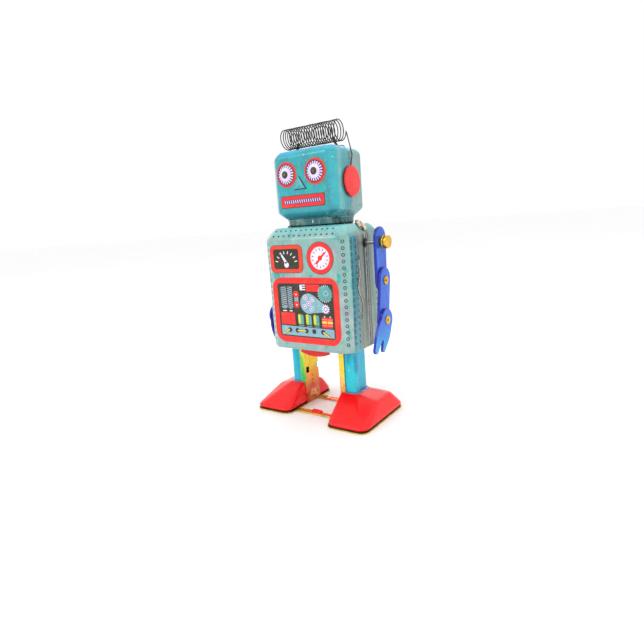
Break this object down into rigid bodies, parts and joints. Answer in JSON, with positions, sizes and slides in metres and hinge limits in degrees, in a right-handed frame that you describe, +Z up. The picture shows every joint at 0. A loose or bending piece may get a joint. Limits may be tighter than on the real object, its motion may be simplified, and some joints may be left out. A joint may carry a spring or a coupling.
{
  "type": "wind-up tin robot",
  "caption": "Wind-up tin walking robot with a boxy body and head, a coil antenna, riveted swinging arms with claws, and crank-driven legs on flat red feet.",
  "frame": {"origin": "centre of the bounding box on the ground, at rest", "axes": "-Y forward (the way the robot faces), +X to the robot's left, +Z up"},
  "size_m": [0.0608, 0.0506, 0.12],
  "materials": {
    "body_print": "printed tin, mottled grey-green, satin gloss",
    "body_back_print": "printed tin, green-teal, satin gloss",
    "head_print": "printed tin, teal, gloss",
    "bare_tin": "bare tinplate",
    "ear_red": "red gloss paint",
    "wire": "dark spring wire",
    "gold_tin": "gold-lacquered tinplate",
    "steel": "plain steel",
    "brass": "brass, lightly polished",
    "key_plate": "nickel-plated steel",
    "red_plastic": "moulded red plastic",
    "leg_blue": "light blue gloss paint",
    "arm_blue": "blue gloss paint, violet-blue edges",
    "foot_red": "red gloss paint"
  },
  "bodies": {
    "torso": {"body_front_shell": "body_print", "body_back_shell": "body_back_print", "head_front_shell": "head_print", "head_back_shell": "head_print", "neck_collar": "head_print", "seam_tabs": "bare_tin", "ear_disc_left": "ear_red", "ear_disc_right": "ear_red", "antenna_coil": "wire", "antenna_leads": "wire", "motor_plate_left": "gold_tin", "motor_plate_right": "gold_tin", "motor_back_plate": "gold_tin", "motor_bridge": "gold_tin", "motor_pillars": "steel", "motor_brackets": "gold_tin", "mainspring": "wire", "arm_axle": "steel", "shoulder_knob_left": "brass", "shoulder_knob_right": "brass", "drive_guard": "foot_red"},
    "winder": {"winding_key": "key_plate", "winding_arbor": "steel", "ratchet_wheel": "brass"},
    "great_wheel": {"great_wheel": "brass", "click_rivet": "steel"},
    "click": {"click": "steel"},
    "second_arbor": {"second_arbor": "steel", "second_wheel": "brass", "second_pinion": "steel"},
    "crankshaft": {"crank_arbor": "steel", "crank_pinion": "steel", "governor_driver": "brass", "upper_crank_left": "steel", "upper_crank_right": "steel"},
    "drum": {"crank_drum": "red_plastic", "drum_shaft": "steel", "lower_crank_left": "steel", "lower_crank_right": "steel"},
    "governor": {"governor_arbor": "steel", "governor_pinion": "steel", "governor_weight": "brass"},
    "leg_left": {"leg_frame_left": "gold_tin", "leg_cover_left": "leg_blue", "foot_shell_left": "foot_red", "foot_sole_left": "gold_tin"},
    "upper_arm_left": {"upper_arm_left": "arm_blue", "elbow_rivet_left": "brass"},
    "forearm_left": {"forearm_left": "arm_blue", "wrist_rivet_left": "brass"},
    "claw_left": {"claw_left": "arm_blue"},
    "leg_right": {"leg_frame_right": "gold_tin", "leg_cover_right": "leg_blue", "foot_shell_right": "foot_red", "foot_sole_right": "gold_tin"},
    "upper_arm_right": {"upper_arm_right": "arm_blue", "elbow_rivet_right": "brass"},
    "forearm_right": {"forearm_right": "arm_blue", "wrist_rivet_right": "brass"},
    "claw_right": {"claw_right": "arm_blue"}
  },
  "joints": [
    {"name": "crank_turn", "type": "hinge", "parent": "torso", "child": "crankshaft", "pos_m": [-0.00075, -0.004, 0.05379], "axis": [1, 0, 0], "continuous": true},
    {"name": "drum_turn", "type": "hinge", "parent": "torso", "child": "drum", "pos_m": [-0.00075, -0.004, 0.033], "axis": [1, 0, 0], "continuous": true},
    {"name": "second_turn", "type": "hinge", "parent": "torso", "child": "second_arbor", "pos_m": [-0.00075, -0.0018, 0.062], "axis": [1, 0, 0], "continuous": true},
    {"name": "great_turn", "type": "hinge", "parent": "torso", "child": "great_wheel", "pos_m": [-0.00075, 0.0018, 0.062], "axis": [0, 1, 0], "continuous": true},
    {"name": "governor_turn", "type": "hinge", "parent": "torso", "child": "governor", "pos_m": [-0.00075, -0.0108, 0.04869], "axis": [1, 0, 0], "continuous": true},
    {"name": "key_turn", "type": "hinge", "parent": "torso", "child": "winder", "pos_m": [-0.00075, 0.0102, 0.062], "axis": [0, 1, 0], "continuous": true},
    {"name": "click_swing", "type": "hinge", "parent": "great_wheel", "child": "click", "pos_m": [0.0041, 0.00295, 0.064], "axis": [0, 1, 0], "range_deg": [-8, 0]},
    {"name": "leg_left_pin", "type": "hinge", "parent": "drum", "child": "leg_left", "pos_m": [0.00995, -0.006, 0.033], "axis": [1, 0, 0], "continuous": true},
    {"name": "leg_right_pin", "type": "hinge", "parent": "drum", "child": "leg_right", "pos_m": [-0.01145, -0.002, 0.033], "axis": [1, 0, 0], "continuous": true},
    {"name": "shoulder_left", "type": "hinge", "parent": "torso", "child": "upper_arm_left", "pos_m": [0.02675, -0.0018, 0.0717], "axis": [1, 0, 0], "continuous": true},
    {"name": "elbow_left", "type": "hinge", "parent": "upper_arm_left", "child": "forearm_left", "pos_m": [0.02785, -0.0018, 0.05665], "axis": [1, 0, 0], "range_deg": [-95, 95]},
    {"name": "wrist_left", "type": "hinge", "parent": "forearm_left", "child": "claw_left", "pos_m": [0.02885, -0.00399, 0.04105], "axis": [1, 0, 0], "range_deg": [-100, 100]},
    {"name": "shoulder_right", "type": "hinge", "parent": "torso", "child": "upper_arm_right", "pos_m": [-0.02285, -0.0018, 0.0717], "axis": [1, 0, 0], "continuous": true},
    {"name": "elbow_right", "type": "hinge", "parent": "upper_arm_right", "child": "forearm_right", "pos_m": [-0.02395, -0.00441, 0.05688], "axis": [1, 0, 0], "range_deg": [-95, 95]},
    {"name": "wrist_right", "type": "hinge", "parent": "forearm_right", "child": "claw_right", "pos_m": [-0.02495, -0.00715, 0.04137], "axis": [1, 0, 0], "range_deg": [-100, 100]}
  ],
  "couplings": [
    {"joint": "drum_turn", "follows": "crank_turn", "ratio": 1},
    {"joint": "second_turn", "follows": "crank_turn", "ratio": -0.41667},
    {"joint": "great_turn", "follows": "crank_turn", "ratio": -0.18939},
    {"joint": "governor_turn", "follows": "crank_turn", "ratio": -2.4},
    {"joint": "leg_left_pin", "follows": "crank_turn", "ratio": -1},
    {"joint": "leg_right_pin", "follows": "crank_turn", "ratio": -1}
  ]
}
